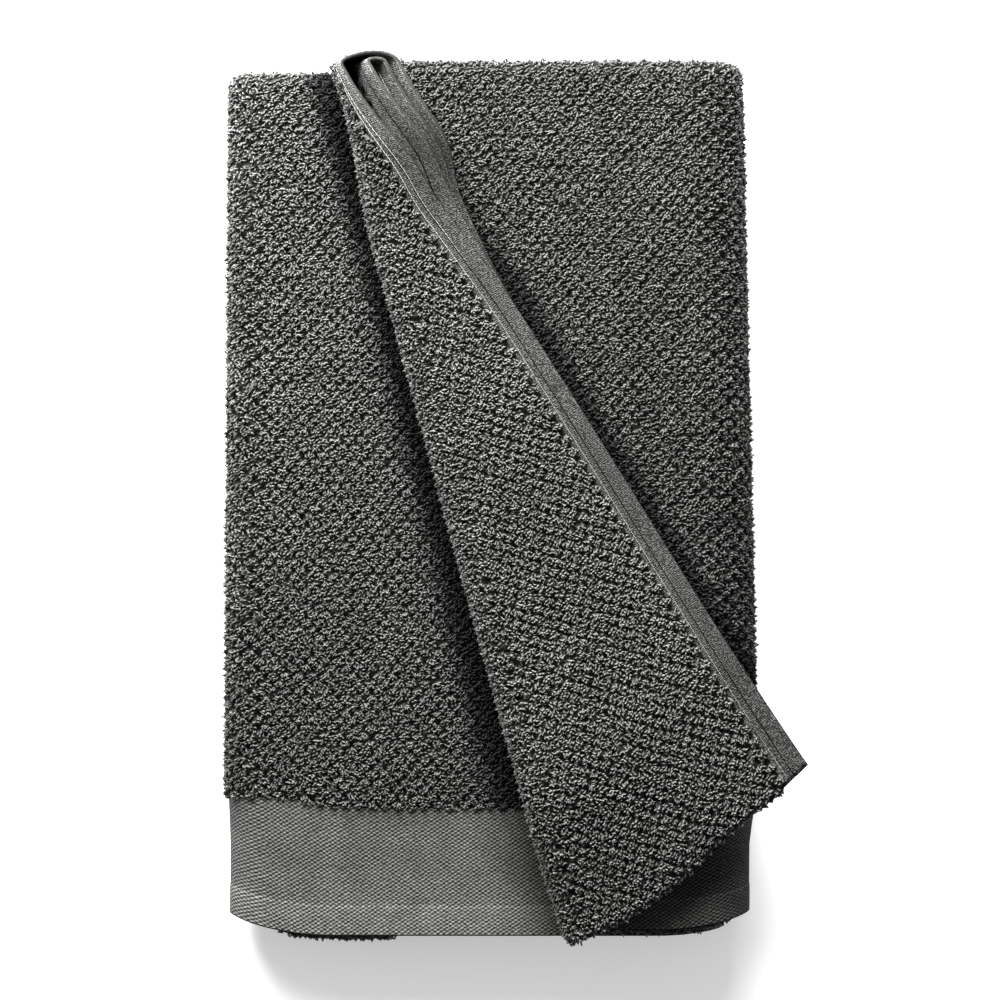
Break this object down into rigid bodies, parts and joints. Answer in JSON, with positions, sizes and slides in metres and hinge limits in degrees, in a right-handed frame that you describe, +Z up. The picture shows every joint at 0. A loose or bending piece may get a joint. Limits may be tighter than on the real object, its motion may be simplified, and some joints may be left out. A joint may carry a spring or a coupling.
{
  "type": "folded bath sheet",
  "caption": "Terry bath sheet folded into a flat rectangular stack, with the free side of its top panel turned back aslant as a wedge-shaped flap.",
  "frame": {"origin": "centre of the underside, on the surface that the stack lies on", "axes": "+Z up from the surface, +Y along the stack from the banded end to the folded end, +X towards the side that the flap's corner points to"},
  "size_m": [0.2996, 0.4548, 0.0827],
  "materials": {
    "terry": "charcoal grey looped cotton pile, with flat woven bands and turned hems"
  },
  "bodies": {
    "root": {"bath_sheet": "terry"}
  },
  "joints": []
}
